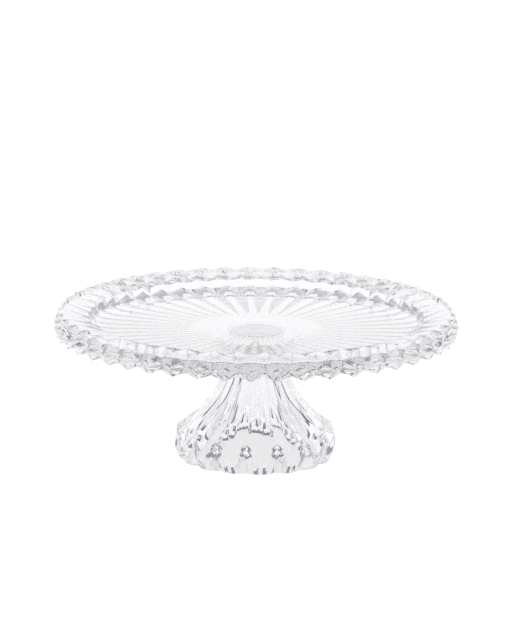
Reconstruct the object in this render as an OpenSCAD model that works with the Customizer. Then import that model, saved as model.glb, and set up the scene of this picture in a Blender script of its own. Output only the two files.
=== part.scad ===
// Cake stand in pressed glass: a toothed plate on a fluted, hollow pedestal.
// The plate and the pedestal are two pressings, joined by a thin film of clear adhesive.
// Millimetres. +Z is up, and the origin is the centre of the foot's bottom face.

/* [Plate] */
// Diameter of the plate over its teeth
plate_d = 300; // [290:1:320]
// Number of teeth round the rim, and of flutes in the sunburst under the plate
teeth = 48; // [40:4:56]
// Diameter of the flat floor that the cake stands on
floor_d = 214; // [200:1:220]
// Diameter of the well, at the crease where its side turns up to the rim
well_d = 244.8; // [240:0.1:248]
// Thickness of the glass under the well
well_t = 5; // [4.5:0.1:6]
// Height of the rim, from its lowest tips to its highest peaks
rim_h = 20.6; // [19:0.1:23]
// Diameter of the plain disc inside the sunburst
sunburst_d = 98; // [80:1:120]
// Depth of the flutes where they meet the teeth
flute_depth = 3.6; // [2:0.1:4]

/* [Pedestal] */
// Height of the pedestal, from the table to the adhesive
pedestal_h = 91.2; // [88:0.1:100]
// Number of petals round the pedestal
petals = 16; // [12:4:20]
// Diameter of the foot at its widest
foot_d = 120; // [114:1:130]
// Diameter of the pedestal's flat top, where the plate is bonded
neck_d = 41; // [38:1:44]
// Depth of the hollow petals at the neck
neck_dip = 1.4; // [0.4:0.1:1.6]
// Depth of the hollow petals at the foot
foot_dip = 3.6; // [1:0.1:4]
// Turn of the pedestal's first ridge from the plate's first tooth, in degrees
pedestal_turn = -5.3; // [-11:0.1:11]

/* [Bond] */
// Thickness of the adhesive film
film_t = 0.2; // [0.1:0.05:0.4]

/* [Hidden] */

GLASS = [0.88, 0.92, 0.96, 0.55];
CLEAR = [0.96, 0.97, 0.98, 0.4];

boss_drop = 0.8;
tip_rise = 1;
boss_r = neck_d / 2 + 0.5;
film_r = neck_d / 2 - 0.5;
boss_z = pedestal_h + film_t;
under_z = boss_z + boss_drop;
floor_z = under_z + well_t;
tip_z = boss_z + tip_rise;
peak_z = tip_z + rim_h;
plate_r = plate_d / 2;
floor_r = floor_d / 2;
well_r = well_d / 2;
foot_r = foot_d / 2;
neck_r = neck_d / 2;

// How the patches that lead to a ring are cut into two facets each.
FROM_TOOTH = true;
TO_TOOTH = false;

// The side of the well is a quarter of an ellipse, from the flat floor up to the crease.
crease_z = tip_z + 10.8;
SIDE_STEP = 22.5;
SIDE = [for (a = [0 : SIDE_STEP : 90])
    let (
        r = floor_r + (well_r - floor_r) * sin(a),
        z = floor_z + (crease_z - floor_z) * (1 - cos(a))
    )
    [r, z, r, z, TO_TOOTH]];

// A plate ring is [radius, height] on a tooth, then [radius, height] between two teeth.
// The last value is the cut of the patches that lead to it.
shoulder_z = peak_z - 2.6;
apex_z = tip_z + 7.5;
RIM = [
    [well_r + 2.4, peak_z - 5.4, well_r + 1.4, peak_z - 6.6, TO_TOOTH],
    [plate_r - 5.4, peak_z - 2.1, plate_r - 6.4, peak_z, FROM_TOOTH],
    [plate_r - 3, shoulder_z, plate_r - 5, shoulder_z, TO_TOOTH],
    [plate_r, apex_z, plate_r - 4.1, apex_z, FROM_TOOTH],
    [plate_r - 2.5, tip_z, plate_r - 3.4, tip_z + flute_depth, TO_TOOTH]
];

// The flutes run in under the plate, from the rim to points round the plain disc.
FLUTES = [for (t = [1, 0.6, 0.2, 0])
    let (
        r = sunburst_d / 2 + (plate_r - 22 - sunburst_d / 2) * t,
        z = under_z + (tip_z - under_z) * t
    )
    [r, z, r, z + 0.86 * flute_depth * pow(t, 0.6), TO_TOOTH]];
BOSS = [
    [boss_r + 0.6, under_z, boss_r + 0.6, under_z, TO_TOOTH],
    [boss_r, boss_z, boss_r, boss_z, TO_TOOTH]
];
PLATE_RINGS = concat(SIDE, RIM, FLUTES, BOSS);

// The pedestal's ridges follow one curve, from the neck to the shoulder of the foot.
BELL = [[neck_r, pedestal_h], [21.5, 70], [27, 43], [foot_r - 1.3, 23.3]];
BELL_STEPS = 10;
// The part of the curve over which the petals' ends turn down to their points.
END = 0.4;
END_DROP = 7.7;

// Each pedestal ring is [radius, height] on a ridge, then [radius, height] mid-petal.
PETAL_RINGS = [for (k = [0 : BELL_STEPS])
    let (
        t = k / BELL_STEPS,
        p = bezier(BELL, t),
        dip = neck_dip + (foot_dip - neck_dip) * t,
        ease = max(0, (t - 1 + END) / END)
    )
    [p[0], p[1], p[0] - dip * (1 - pow(ease, 3)), p[1] - END_DROP * pow(ease, 2), TO_TOOTH]];
// The foot swells into a lobe under each petal.
FOOT_RINGS = [
    [foot_r - 1.2, 19, foot_r, 10.8, TO_TOOTH],
    [foot_r - 3.5, 9, foot_r - 0.4, 6, TO_TOOTH],
    [foot_r - 7.5, 0, foot_r - 3.5, 0, TO_TOOTH]
];

// The hollow follows the outside: a smooth curve through these radii and heights.
HOLLOW = [
    [49, 0], [48.5, 8], [47, 16], [40, 26], [27, 40], [19, 55], [14.6, 67.3], [11, 71.8], [4.4, 73.3]
];
HOLLOW_STEPS = 3;
HOLLOW_RINGS = concat(
    [for (k = [0 : len(HOLLOW) - 2]) for (j = [0 : HOLLOW_STEPS - 1])
        let (p = bezier(span(HOLLOW, k), j / HOLLOW_STEPS))
        [p[0], p[1], p[0], p[1], TO_TOOTH]],
    [let (p = HOLLOW[len(HOLLOW) - 1]) [p[0], p[1], p[0], p[1], TO_TOOTH]]
);

// The control points of the smooth curve's piece from knot k to knot k + 1.
// It leaves each knot parallel to the line between the knots on either side.
function span(knots, k) =
    let (
        last = len(knots) - 1,
        before = k == 0 ? knots[0] : knots[k - 1],
        after = k + 2 > last ? knots[last] : knots[k + 2]
    )
    [
        knots[k],
        knots[k] + (knots[k + 1] - before) / 6,
        knots[k + 1] - (after - knots[k]) / 6,
        knots[k + 1]
    ];

// A point on the cubic curve with control points p, at t from 0 to 1.
function bezier(p, t) =
    pow(1 - t, 3) * p[0] + 3 * pow(1 - t, 2) * t * p[1] + 3 * (1 - t) * t * t * p[2] + pow(t, 3) * p[3];

// A point at radius r and height z, turned by a degrees.
function polar(r, z, a) = [r * cos(a), r * sin(a), z];

// The two triangles between ring k and ring k + 1 at place i of n.
// They are cut from the first ring's place i when from_here is true, and else from i + 1.
function quad(k, i, n, from_here) =
    let (a = k * n + i, b = k * n + (i + 1) % n, c = a + n, d = b + n)
    from_here ? [[a, b, d], [a, d, c]] : [[a, b, c], [b, d, c]];

// The faces of a solid whose rings of n points run from its top disc to its bottom disc.
// Cuts mirror about each tooth or ridge, which has per places from it to the next one.
function ring_faces(rings, n, per) = concat(
    [[for (i = [0 : n - 1]) n - 1 - i]],
    [for (k = [0 : len(rings) - 2]) for (i = [0 : n - 1])
        each quad(k, i, n, ((i % per) < per / 2) == rings[k + 1][4])],
    [[for (i = [0 : n - 1]) (len(rings) - 1) * n + i]]
);

module plate() {
    places = 2 * teeth;
    points = [for (g = PLATE_RINGS) for (i = [0 : places - 1])
        i % 2 == 0 ? polar(g[0], g[1], 180 * i / teeth) : polar(g[2], g[3], 180 * i / teeth)];
    color(GLASS) polyhedron(points, ring_faces(PLATE_RINGS, places, 2));
}

// A petal is hollow across: it is deepest half way between two ridges.
// Its rings dip in straight lines towards mid-petal, so its end is a point.
function petal_point(g, i, places) =
    let (
        per = places / petals,
        t = abs(2 * (i % per) / per - 1),
        r = g[0] + (g[2] - g[0]) * (1 - t * t),
        z = g[1] + (g[3] - g[1]) * (1 - t)
    )
    polar(r, z, 360 * i / places);

module pedestal_body() {
    per = 6;
    places = per * petals;
    rings = concat(PETAL_RINGS, FOOT_RINGS, HOLLOW_RINGS);
    points = [for (g = rings) for (i = [0 : places - 1]) petal_point(g, i, places)];
    polyhedron(points, ring_faces(rings, places, per));
}

module pedestal() {
    color(GLASS) rotate([0, 0, pedestal_turn]) pedestal_body();
}

module bond_film() {
    color(CLEAR) translate([0, 0, pedestal_h]) cylinder(h = film_t, r = film_r, $fn = 96);
}

plate();
pedestal();
bond_film();
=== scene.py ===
"""A pressed-glass cake stand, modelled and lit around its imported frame.

The stand is two pressings, a toothed plate and a fluted pedestal, joined by a thin film of
clear adhesive. Each of the three has a class that holds its sizes, shapes it and dresses it.
"""

import logging
import math
from dataclasses import dataclass, field, replace
from enum import Enum
from typing import Callable, Iterable, Optional, Union

import bmesh
import bpy
from mathutils import Matrix, Vector
from mathutils.geometry import interpolate_bezier


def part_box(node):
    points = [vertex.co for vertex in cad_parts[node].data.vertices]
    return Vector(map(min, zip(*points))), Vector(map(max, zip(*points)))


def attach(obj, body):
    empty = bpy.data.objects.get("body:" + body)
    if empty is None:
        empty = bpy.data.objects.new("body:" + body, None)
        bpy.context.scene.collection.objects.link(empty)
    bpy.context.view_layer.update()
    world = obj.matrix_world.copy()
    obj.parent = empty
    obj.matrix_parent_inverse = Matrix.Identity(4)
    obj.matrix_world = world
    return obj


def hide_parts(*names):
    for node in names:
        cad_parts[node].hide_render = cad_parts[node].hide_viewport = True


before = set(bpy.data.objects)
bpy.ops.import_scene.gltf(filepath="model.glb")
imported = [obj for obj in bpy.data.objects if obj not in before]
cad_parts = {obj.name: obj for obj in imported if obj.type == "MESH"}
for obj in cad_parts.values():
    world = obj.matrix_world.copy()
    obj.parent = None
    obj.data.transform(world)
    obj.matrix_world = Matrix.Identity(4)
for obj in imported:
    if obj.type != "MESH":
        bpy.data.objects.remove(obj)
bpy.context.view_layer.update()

logging.basicConfig(level=logging.INFO, format="%(name)s: %(message)s")
LOG = logging.getLogger("cake_stand")

MM = 0.001
WELD = 1e-6
Colour = tuple[float, float, float, float]
Value = Union[float, "Socket"]
WHITE: Colour = (1.0, 1.0, 1.0, 1.0)


# ---------------------------------------------------------------- shader maths


class Socket:
    """A node's output that takes part in arithmetic; each operator adds a Math node."""

    def __init__(self, graph: "Graph", output: Optional[bpy.types.NodeSocket]) -> None:
        """Wraps one output of a graph's node."""
        self.graph = graph
        self.output = output

    def _math(self, operation: str, a: Value, b: Value) -> "Socket":
        """Adds a Math node with two inputs."""
        return self.graph.node("ShaderNodeMath", {"operation": operation}, {0: a, 1: b})

    def __truediv__(self, other: Value) -> "Socket":
        """Self / other."""
        return self._math("DIVIDE", self, other)

    def __rtruediv__(self, other: Value) -> "Socket":
        """Other / self."""
        return self._math("DIVIDE", other, self)


class Graph:
    """A node tree that is being filled."""

    def __init__(self, tree: bpy.types.NodeTree) -> None:
        """Clears the tree."""
        tree.nodes.clear()
        self.tree = tree

    def node(
        self,
        kind: str,
        settings: Optional[dict] = None,
        inputs: Optional[dict] = None,
        out: Union[int, str] = 0,
    ) -> Socket:
        """Adds any node.

        Args:
            kind: The node's type name.
            settings: Its settings; "stops" fills a colour ramp.
            inputs: Values or sockets for its inputs, by name or number.
            out: The output to return, by name or number.

        Returns:
            The chosen output, which holds nothing when the node has none.
        """
        made = self.tree.nodes.new(kind)
        for name, value in (settings or {}).items():
            if name == "stops":
                self._stops(made.color_ramp, value)
            else:
                setattr(made, name, value)
        for key, value in (inputs or {}).items():
            if isinstance(value, Socket):
                self.tree.links.new(value.output, made.inputs[key])
            else:
                made.inputs[key].default_value = value
        return Socket(self, made.outputs[out] if made.outputs else None)

    @staticmethod
    def _stops(ramp: bpy.types.ColorRamp, stops: Iterable[tuple[float, Colour]]) -> None:
        """Sets a ramp's stops, each a place and a colour."""
        stops = list(stops)
        while len(ramp.elements) < len(stops):
            ramp.elements.new(0.5)
        for element, (place, colour) in zip(ramp.elements, stops):
            element.position = place
            element.color = colour


# ---------------------------------------------------------------- finishes


@dataclass(frozen=True)
class Glass:
    """Clear glass as it comes from the mould.

    Args:
        name: The material's name.
        tint: Colour that the glass gives to what is seen through it.
        ior: Index of refraction.
        roughness: Roughness, zero on fire-polished faces.
        wave: Height of the slow waves left by the mould, as a bump distance in metres.
        wave_size: Waves per metre.
    """

    name: str
    tint: Colour = (0.955, 0.957, 0.962, 1.0)
    ior: float = 1.5
    roughness: float = 0.0
    wave: float = 0.00001
    wave_size: float = 40.0

    def make(self) -> bpy.types.Material:
        """Builds the material.

        Returns:
            A material with a Principled shader and a slow bump.
        """
        material = bpy.data.materials.new(self.name)
        material.use_nodes = True
        graph = Graph(material.node_tree)
        place = graph.node("ShaderNodeTexCoord", out="Object")
        waves = graph.node(
            "ShaderNodeTexNoise",
            inputs={"Vector": place, "Scale": self.wave_size, "Detail": 1.0},
        )
        bump = graph.node(
            "ShaderNodeBump",
            inputs={"Strength": 1.0, "Distance": self.wave, "Height": waves},
        )
        shader = graph.node(
            "ShaderNodeBsdfPrincipled",
            inputs={
                "Base Color": self.tint,
                "Roughness": self.roughness,
                "IOR": self.ior,
                "Transmission Weight": 1.0,
                "Normal": bump,
            },
        )
        graph.node("ShaderNodeOutputMaterial", inputs={"Surface": shader})
        return material


@dataclass(frozen=True)
class Backdrop:
    """The white sheet that the stand is placed on, lit from below like a light table, with a
    painted shadow under the stand.

    Args:
        name: The material's name.
        colour: Its colour.
        glow: Its own light.
        reach: Distance from the stand's axis where the painted shadow under the stand ends and the
            sheet's light is full, in metres.
        stops: Its light as the glass sees it, from the axis out to the reach; the dimmer light
            near the axis is a painted shadow under the stand.
    """

    name: str
    colour: Colour = (0.5, 0.5, 0.5, 1.0)
    glow: float = 0.86
    reach: float = 0.3
    # painted shadow: the glow dims from 0.87 at the reach to 0.80 on the axis, under the stand
    stops: tuple = (
        (0.0, (0.80, 0.80, 0.80, 1.0)),
        (0.5, (0.82, 0.82, 0.82, 1.0)),
        (1.0, (0.87, 0.87, 0.87, 1.0)),
    )

    def make(self) -> bpy.types.Material:
        """Builds the material."""
        material = bpy.data.materials.new(self.name)
        material.use_nodes = True
        graph = Graph(material.node_tree)
        place = graph.node("ShaderNodeTexCoord", out="Object")
        away = graph.node("ShaderNodeVectorMath", {"operation": "LENGTH"}, {0: place}, out="Value")
        # painted shadow: the glow that the glass sees is dimmer towards the stand's axis; the
        # camera sees plain white
        table = graph.node("ShaderNodeValToRGB", {"stops": self.stops}, {"Fac": away / self.reach})
        seen = graph.node("ShaderNodeLightPath", out="Is Camera Ray")
        light = graph.node(
            "ShaderNodeMix",
            {"data_type": "RGBA"},
            {"Factor": seen, "A": table, "B": WHITE},
            out="Result",
        )
        shader = graph.node(
            "ShaderNodeBsdfPrincipled",
            inputs={
                "Base Color": self.colour,
                "Roughness": 0.9,
                "Emission Color": light,
                "Emission Strength": self.glow,
            },
        )
        graph.node("ShaderNodeOutputMaterial", inputs={"Surface": shader})
        return material


# ---------------------------------------------------------------- meshes


def grid_strip(
    columns: int, rows: int, place: Callable[[float, float], Vector]
) -> bmesh.types.BMesh:
    """Bends a flat grid into a strip of wall.

    Args:
        columns: Steps across the strip.
        rows: Steps along the strip.
        place: Gives the point at (0..1 across, 0..1 along).

    Returns:
        A new bmesh.
    """
    bm = bmesh.new()
    bmesh.ops.create_grid(bm, x_segments=columns, y_segments=rows, size=0.5)
    for vert in bm.verts:
        vert.co = place(vert.co.x + 0.5, vert.co.y + 0.5)
    return bm


def ring_of(bm: bmesh.types.BMesh, copies: int) -> None:
    """Mirrors a half sector about the XZ plane and repeats it all round Z.

    Args:
        bm: The half sector, between the XZ plane and half a step of turn.
        copies: Sectors in the full ring.
    """
    geom = bm.verts[:] + bm.edges[:] + bm.faces[:]
    bmesh.ops.mirror(bm, geom=geom, merge_dist=WELD, axis="Y")
    geom = bm.verts[:] + bm.edges[:] + bm.faces[:]
    bmesh.ops.spin(
        bm,
        geom=geom,
        axis=(0, 0, 1),
        angle=math.tau * (copies - 1) / copies,
        steps=copies - 1,
        use_duplicate=True,
    )
    bmesh.ops.remove_doubles(bm, verts=bm.verts, dist=WELD * 10)


def cap(bm: bmesh.types.BMesh) -> None:
    """Closes every open loop with one flat face, then points all faces outwards."""
    edges = [e for e in bm.edges if e.is_boundary]
    bmesh.ops.holes_fill(bm, edges=edges, sides=0)
    bmesh.ops.recalc_face_normals(bm, faces=bm.faces)


def soften(bm: bmesh.types.BMesh, least_turn: float, width: float, segments: int) -> None:
    """Rounds the edges where two faces meet at a clear angle, by less if the mesh has short edges.

    Args:
        bm: The mesh.
        least_turn: Smallest turn between the two faces, in degrees.
        width: Most width of the round, in metres.
        segments: Faces across it.
    """
    limit = math.radians(least_turn)
    edges = [e for e in bm.edges if e.is_manifold and e.calc_face_angle(0.0) > limit]
    bmesh.ops.bevel(
        bm,
        geom=edges,
        offset=width,
        offset_type="OFFSET",
        affect="EDGES",
        segments=segments,
        profile=0.5,
        material=-1,
        clamp_overlap=True,
    )


def finish_mesh(bm: bmesh.types.BMesh, name: str, smooth_below: float) -> bpy.types.Object:
    """Turns a bmesh into an object at the origin.

    Args:
        bm: The mesh, which is freed.
        name: The object's name.
        smooth_below: Faces that meet at less than this turn, in degrees, shade as one.

    Returns:
        The object, linked into the scene.
    """
    for face in bm.faces:
        face.smooth = True
    mesh = bpy.data.meshes.new(name)
    bm.to_mesh(mesh)
    bm.free()
    mesh.set_sharp_from_angle(angle=math.radians(smooth_below))
    made = bpy.data.objects.new(name, mesh)
    bpy.context.scene.collection.objects.link(made)
    return made


def place_piece(piece: bpy.types.Object, node: str) -> None:
    """Hangs a finished piece on the frame in place of its CAD node and logs its size."""
    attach(piece, "root")
    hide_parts(node)
    LOG.info("%s: %d faces", piece.name, len(piece.data.polygons))


# ---------------------------------------------------------------- plate


class Cut(Enum):
    """Which way a four-sided patch of the rim is split into two flat facets."""

    TOOTH_TO_GAP = "tooth to gap"
    GAP_TO_TOOTH = "gap to tooth"


@dataclass(frozen=True)
class Ring:
    """A ring round the plate, in millimetres.

    Args:
        tooth_r: Radius on a tooth's centre line.
        tooth_z: Height there.
        gap_r: Radius midway between two teeth.
        gap_z: Height there.
        cut: How the patch that leads to this ring is split.
        scooped: Whether the ring is hollowed between the two, where it crosses a flute.
    """

    tooth_r: float
    tooth_z: float
    gap_r: float
    gap_z: float
    cut: Cut = Cut.GAP_TO_TOOTH
    scooped: bool = True


@dataclass
class Plate:
    """The toothed serving plate, in millimetres.

    Args:
        teeth: Teeth round the rim, and flutes under the plate.
        floor_radius: Radius of the flat floor.
        well_radius: Radius of the crease at the top of the well's side.
        crease_rise: Height of that crease above the teeth's lowest tips.
        side_steps: Steps up the side of the well.
        rim_height: Height of the rim, from its lowest tips to its peaks.
        apex_rise: Height of the teeth's outermost points above their lowest tips.
        thickness: Glass under the well.
        sunburst_radius: Radius of the plain disc inside the flutes.
        flute_margin: How far inside the rim the flutes run at their full depth.
        flute_depth: Depth of the flutes at the teeth.
        flute_columns: Steps across half a flute.
        boss_drop: How far the boss stands below the plate.
        arris: Most width of the rounded edges. Short edges hold them to less than this.
        crisp: Edges that turn by less than this, in degrees, aren't rounded and shade as one.
    """

    teeth: int = 48
    floor_radius: float = 107.0
    well_radius: float = 122.4
    crease_rise: float = 10.8
    side_steps: int = 6
    rim_height: float = 20.6
    apex_rise: float = 7.5
    thickness: float = 5.0
    sunburst_radius: float = 49.0
    flute_margin: float = 22.0
    flute_depth: float = 3.6
    flute_columns: int = 4
    boss_drop: float = 0.8
    arris: float = 0.25
    crisp: float = 12.0

    def __post_init__(self) -> None:
        """Takes the plate's own size from the frame."""
        low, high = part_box("plate")
        self.radius = high.x / MM
        self.peak = high.z / MM
        self.boss_z = low.z / MM
        self.under = self.boss_z + self.boss_drop
        self.floor = self.under + self.thickness
        self.tip = self.peak - self.rim_height
        self.boss_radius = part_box("bond_film")[1].x / MM + 1.0

    def rim(self) -> list[Ring]:
        """Returns the rings from the flat floor, up the well's side and down over the teeth."""
        r, tip, peak = self.radius, self.tip, self.peak
        rise = tip + self.crease_rise - self.floor
        run = self.well_radius - self.floor_radius
        sweep = [math.pi / 2.0 * k / self.side_steps for k in range(self.side_steps + 1)]
        side = [
            (self.floor_radius + run * math.sin(a), self.floor + rise * (1.0 - math.cos(a)))
            for a in sweep
        ]
        rings = [Ring(x, z, x, z) for x, z in side]
        rings += [
            Ring(self.well_radius + 2.4, peak - 5.4, self.well_radius + 1.4, peak - 6.6),
            Ring(r - 5.4, peak - 2.1, r - 6.4, peak, cut=Cut.TOOTH_TO_GAP),
            Ring(r - 3.0, peak - 2.6, r - 5.0, peak - 2.6),
            Ring(r, tip + self.apex_rise, r - 4.1, tip + self.apex_rise, cut=Cut.TOOTH_TO_GAP),
            Ring(r - 2.5, tip, r - 3.4, tip + self.flute_depth),
        ]
        return rings

    def underside(self) -> list[Ring]:
        """Returns the rings from the teeth's lower edge along the flutes to the boss."""
        deep, sun = 0.86 * self.flute_depth, self.sunburst_radius
        reach = self.radius - self.flute_margin - sun
        flutes = []
        for t in (1.0, 0.7, 0.45, 0.25, 0.1, 0.03, 0.0):
            r, z = sun + reach * t, self.under + (self.tip - self.under) * t
            flutes.append(Ring(r, z, r, z + deep * t**0.6))
        root, boss = self.boss_radius + 0.6, self.boss_radius
        ends = [
            Ring(root, self.under, root, self.under),
            Ring(boss, self.boss_z, boss, self.boss_z),
        ]
        return [self.rim()[-1]] + flutes + ends

    def wedge(self, rings: list[Ring], columns: int, bow: float) -> bmesh.types.BMesh:
        """Bends a grid over a run of rings, for half a tooth.

        Args:
            rings: The rings that it passes.
            columns: Steps from the tooth's line to midway.
            bow: How far the flutes are hollowed, from 0 for a V to 1 for a round scoop.

        Returns:
            A new bmesh.
        """
        half_step = math.pi / self.teeth

        def place(across: float, along: float) -> Vector:
            """The point on a ring, between the tooth's line and midway."""
            ring = rings[round(along * (len(rings) - 1))]
            lift = 1.0 - (1.0 - across) ** 2 if ring.scooped else across
            share = across + (lift - across) * bow
            r = ring.tooth_r + (ring.gap_r - ring.tooth_r) * share
            z = ring.tooth_z + (ring.gap_z - ring.tooth_z) * share
            turn = half_step * across
            return Vector((r * math.cos(turn), r * math.sin(turn), z)) * MM

        return grid_strip(columns, len(rings) - 1, place)

    def shape(self) -> bpy.types.Object:
        """Models half a tooth, mirrors it, and turns it round the plate."""
        rim = self.rim()
        bm = self.wedge(rim, 1, 0.0)
        bm.verts.ensure_lookup_table()
        for row, ring in enumerate(rim[1:]):
            near, far = (0, 3) if ring.cut is Cut.TOOTH_TO_GAP else (1, 2)
            pair = [bm.verts[2 * row + near], bm.verts[2 * row + far]]
            bmesh.ops.connect_verts(bm, verts=pair)
        bm.verts.ensure_lookup_table()
        last = [e for e in bm.edges if set(e.verts) == set(bm.verts[-2:])]
        bmesh.ops.subdivide_edges(bm, edges=last, cuts=self.flute_columns - 1)
        under = self.underside()
        under[0] = replace(under[0], scooped=False)
        flutes = self.wedge(under, self.flute_columns, 1.0)
        mesh = bpy.data.meshes.new("flutes")
        flutes.to_mesh(mesh)
        flutes.free()
        bm.from_mesh(mesh)
        bpy.data.meshes.remove(mesh)
        bmesh.ops.remove_doubles(bm, verts=bm.verts, dist=WELD * 10)
        ring_of(bm, self.teeth)
        cap(bm)
        soften(bm, self.crisp, self.arris * MM, 2)
        return finish_mesh(bm, "plate_glass", self.crisp)

    def build(self, glass: bpy.types.Material) -> None:
        """Models the plate, dresses it and hangs it on the frame."""
        piece = self.shape()
        piece.data.materials.append(glass)
        place_piece(piece, "plate")


# ---------------------------------------------------------------- pedestal


@dataclass
class Pedestal:
    """The fluted, hollow foot, in millimetres.

    A ring is its radius and height on a ridge, then in the middle of a petal.

    Args:
        petals: Petals round the pedestal.
        columns: Steps across half a petal.
        foot_radius: Radius of the foot at its widest.
        turn: Turn of the first ridge from the plate's first tooth, in degrees.
        neck_dip: Depth of the hollow petals at the neck.
        foot_dip: Depth of the hollow petals at the foot.
        end: The part of the curve over which the petals' ends turn down to their points.
        end_drop: How far the points hang below the ridges.
        bell_pull: The two middle control points of the ridges' curve.
        bell_steps: Steps down that curve.
        hollow_knots: Radii and heights that the hollow's smooth curve passes through.
        hollow_steps: Steps from one knot to the next.
        arris: Most width of the rounded edges. Short edges hold them to less than this.
        crisp: Edges that turn by less than this, in degrees, aren't rounded.
        smooth_below: Faces that meet at less than this turn, in degrees, shade as one.
    """

    petals: int = 16
    columns: int = 8
    foot_radius: float = 60.0
    turn: float = -5.3
    neck_dip: float = 1.4
    foot_dip: float = 3.6
    end: float = 0.4
    end_drop: float = 7.7
    bell_pull: tuple = ((21.5, 70.0), (27.0, 43.0))
    bell_steps: int = 20
    hollow_knots: tuple = (
        (49.0, 0.0),
        (48.5, 8.0),
        (47.0, 16.0),
        (40.0, 26.0),
        (27.0, 40.0),
        (19.0, 55.0),
        (14.6, 67.3),
        (11.0, 71.8),
        (4.4, 73.3),
    )
    hollow_steps: int = 5
    arris: float = 0.8
    crisp: float = 20.0
    smooth_below: float = 22.0

    def __post_init__(self) -> None:
        """Takes the pedestal's own size from the frame."""
        self.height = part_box("pedestal")[1].z / MM
        self.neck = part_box("bond_film")[1].x / MM + 0.5

    def outside(self) -> list[tuple[float, float, float, float]]:
        """Returns the outer rings, from the neck to the table."""
        rings = []
        foot = self.foot_radius
        corners = ((self.neck, self.height), *self.bell_pull, (foot - 1.3, 23.3))
        controls = [Vector((r, z, 0.0)) for r, z in corners]
        line = interpolate_bezier(*controls, self.bell_steps + 1)
        for k, point in enumerate(line):
            t = k / self.bell_steps
            dip = self.neck_dip + (self.foot_dip - self.neck_dip) * t
            ease = max(0.0, (t - 1.0 + self.end) / self.end)
            mid_r, mid_z = point.x - dip * (1.0 - ease**3), point.y - self.end_drop * ease**2
            rings.append((point.x, point.y, mid_r, mid_z))
        return rings + [
            (foot - 1.2, 19.0, foot, 10.8),
            (foot - 3.5, 9.0, foot - 0.4, 6.0),
            (foot - 7.5, 0.0, foot - 3.5, 0.0),
        ]

    def hollow(self) -> list[tuple[float, float, float, float]]:
        """Returns the rings of the hollow, from the table up to its roof."""
        knots = [Vector((r, z, 0.0)) for r, z in self.hollow_knots]
        line = []
        for k, (start, end) in enumerate(zip(knots, knots[1:])):
            before, after = knots[max(k - 1, 0)], knots[min(k + 2, len(knots) - 1)]
            leave, arrive = start + (end - before) / 6.0, end - (after - start) / 6.0
            piece = interpolate_bezier(start, leave, arrive, end, self.hollow_steps + 1)
            line += piece[:-1]
        line.append(knots[-1])
        return [(v.x, v.y, v.x, v.y) for v in line]

    def shape(self) -> bpy.types.Object:
        """Models half a petal, mirrors it, and turns it round the pedestal."""
        rings = self.outside() + self.hollow()
        half_step = math.pi / self.petals

        def place(across: float, along: float) -> Vector:
            """The point on a ring, from the ridge towards the petal's middle."""
            ridge_r, ridge_z, mid_r, mid_z = rings[round(along * (len(rings) - 1))]
            away = 1.0 - across
            r = ridge_r + (mid_r - ridge_r) * (1.0 - away * away)
            z = ridge_z + (mid_z - ridge_z) * across
            turn = half_step * across
            return Vector((r * math.cos(turn), r * math.sin(turn), z)) * MM

        bm = grid_strip(self.columns, len(rings) - 1, place)
        ring_of(bm, self.petals)
        turned = Matrix.Rotation(math.radians(self.turn), 3, "Z")
        bmesh.ops.rotate(bm, verts=bm.verts, matrix=turned)
        cap(bm)
        soften(bm, self.crisp, self.arris * MM, 2)
        return finish_mesh(bm, "pedestal_glass", self.smooth_below)

    def build(self, glass: bpy.types.Material) -> None:
        """Models the pedestal, dresses it and hangs it on the frame."""
        piece = self.shape()
        piece.data.materials.append(glass)
        place_piece(piece, "pedestal")


# ---------------------------------------------------------------- bond


@dataclass
class BondFilm:
    """The film of adhesive between the pedestal's top and the plate's boss.

    Args:
        gap: Room left above and below it, in millimetres, so that no two faces coincide.
        sides: Sides of the disc.
    """

    gap: float = 0.01
    sides: int = 192

    def build(self, adhesive: bpy.types.Material) -> None:
        """Models a disc that stops just short of the glass on either side, and dresses it."""
        low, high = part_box("bond_film")
        thickness = high.z - low.z - 2.0 * self.gap * MM
        bm = bmesh.new()
        bmesh.ops.create_cone(
            bm,
            cap_ends=True,
            segments=self.sides,
            radius1=high.x,
            radius2=high.x,
            depth=thickness,
            matrix=Matrix.Translation((0.0, 0.0, (low.z + high.z) / 2.0)),
        )
        piece = finish_mesh(bm, "bond_film_clear", 30.0)
        piece.data.materials.append(adhesive)
        place_piece(piece, "bond_film")


# ---------------------------------------------------------------- studio


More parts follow.
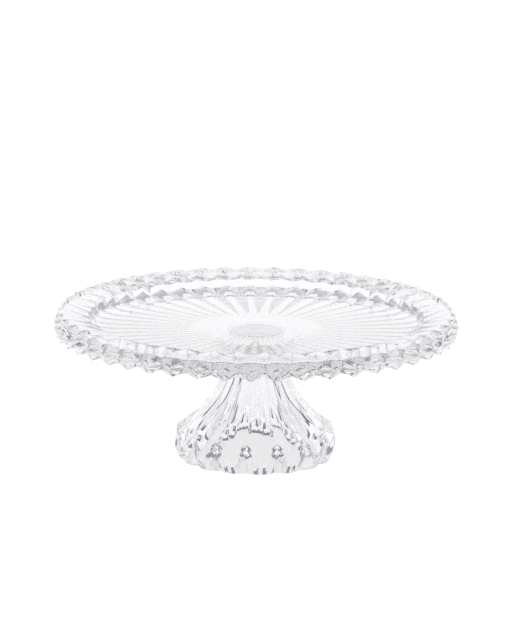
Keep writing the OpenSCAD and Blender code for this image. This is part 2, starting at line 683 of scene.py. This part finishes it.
@dataclass
class Studio:
    """The floor, the light and the camera.

    Args:
        distance: From the camera to the point that it aims at, in metres.
        lens: Focal length, in millimetres.
        elevation: Degrees that the camera stands above the level.
        azimuth: Degrees that it stands to the right of the front.
        roll: Degrees that it leans.
        aim: The point that it aims at, in metres.
        floor_reach: Half the width of the floor, in metres.
        wall_stops: The room's colour against the sine of the height above the horizon.
        bounces: Most bounces that a ray makes in the glass.
    """

    distance: float = 3.75
    lens: float = 285.0
    elevation: float = 13.0
    azimuth: float = 1.35
    roll: float = 0.55
    aim: Vector = field(default_factory=lambda: Vector((0.0012, 0.0, 0.1038)))
    floor_reach: float = 6.0
    wall_stops: tuple = (
        (0.0, (0.15, 0.155, 0.20, 1.0)),
        (0.16, (0.22, 0.23, 0.28, 1.0)),
        (0.20, (0.87, 0.87, 0.88, 1.0)),
        (0.38, (0.93, 0.93, 0.93, 1.0)),
        (0.60, (0.66, 0.66, 0.67, 1.0)),
        (0.85, (0.46, 0.46, 0.50, 1.0)),
        (1.0, (0.40, 0.40, 0.46, 1.0)),
    )
    bounces: int = 26

    def camera(self) -> None:
        """Stands the camera a little above the plate and aims it at the rim."""
        data = bpy.data.cameras.new("camera")
        data.lens = self.lens
        data.clip_end = 50.0
        camera = bpy.data.objects.new("camera", data)
        bpy.context.scene.collection.objects.link(camera)
        tilt = math.radians(self.elevation)
        turn = math.radians(self.azimuth)
        level = math.cos(tilt)
        back = Vector((math.sin(turn) * level, -math.cos(turn) * level, math.sin(tilt)))
        camera.location = self.aim + back * self.distance
        facing = (-back).to_track_quat("-Z", "Y").to_matrix().to_4x4()
        spin = Matrix.Rotation(math.radians(self.roll), 4, "Z")
        camera.matrix_world = Matrix.Translation(camera.location) @ facing @ spin
        bpy.context.scene.camera = camera

    def floor(self) -> None:
        """Lays the white sheet."""
        bm = bmesh.new()
        bmesh.ops.create_grid(bm, x_segments=1, y_segments=1, size=self.floor_reach)
        sheet = finish_mesh(bm, "floor", 30.0)
        sheet.data.materials.append(Backdrop("white_sheet").make())

    def light(self) -> None:
        """Rings the stand with a soft white band, between a dim skirting and a grey ceiling."""
        world = bpy.data.worlds.new("soft_room")
        bpy.context.scene.world = world
        world.use_nodes = True
        graph = Graph(world.node_tree)
        way = graph.node("ShaderNodeTexCoord", out="Generated")
        height = graph.node("ShaderNodeSeparateXYZ", inputs={0: way}, out="Z")
        walls = graph.node("ShaderNodeValToRGB", {"stops": self.wall_stops}, {"Fac": height})
        seen = graph.node("ShaderNodeLightPath", out="Is Camera Ray")
        room = graph.node(
            "ShaderNodeMix",
            {"data_type": "RGBA"},
            {"Factor": seen, "A": walls, "B": WHITE},
            out="Result",
        )
        sky = graph.node("ShaderNodeBackground", inputs={"Color": room, "Strength": 1.0})
        graph.node("ShaderNodeOutputWorld", inputs={"Surface": sky})

    def build(self) -> None:
        """Sets up the whole studio."""
        self.camera()
        self.floor()
        self.light()
        scene = bpy.context.scene
        scene.view_settings.view_transform = "Standard"
        scene.cycles.max_bounces = self.bounces
        scene.cycles.transmission_bounces = self.bounces
        scene.cycles.glossy_bounces = self.bounces


def main() -> None:
    """Builds the stand and the studio in order."""
    Studio().build()
    glass = Glass("plate_glass").make()
    Plate().build(glass)
    Pedestal().build(Glass("pedestal_glass").make())
    BondFilm().build(Glass("clear_adhesive", ior=1.47).make())


if __name__ == "__main__":
    main()
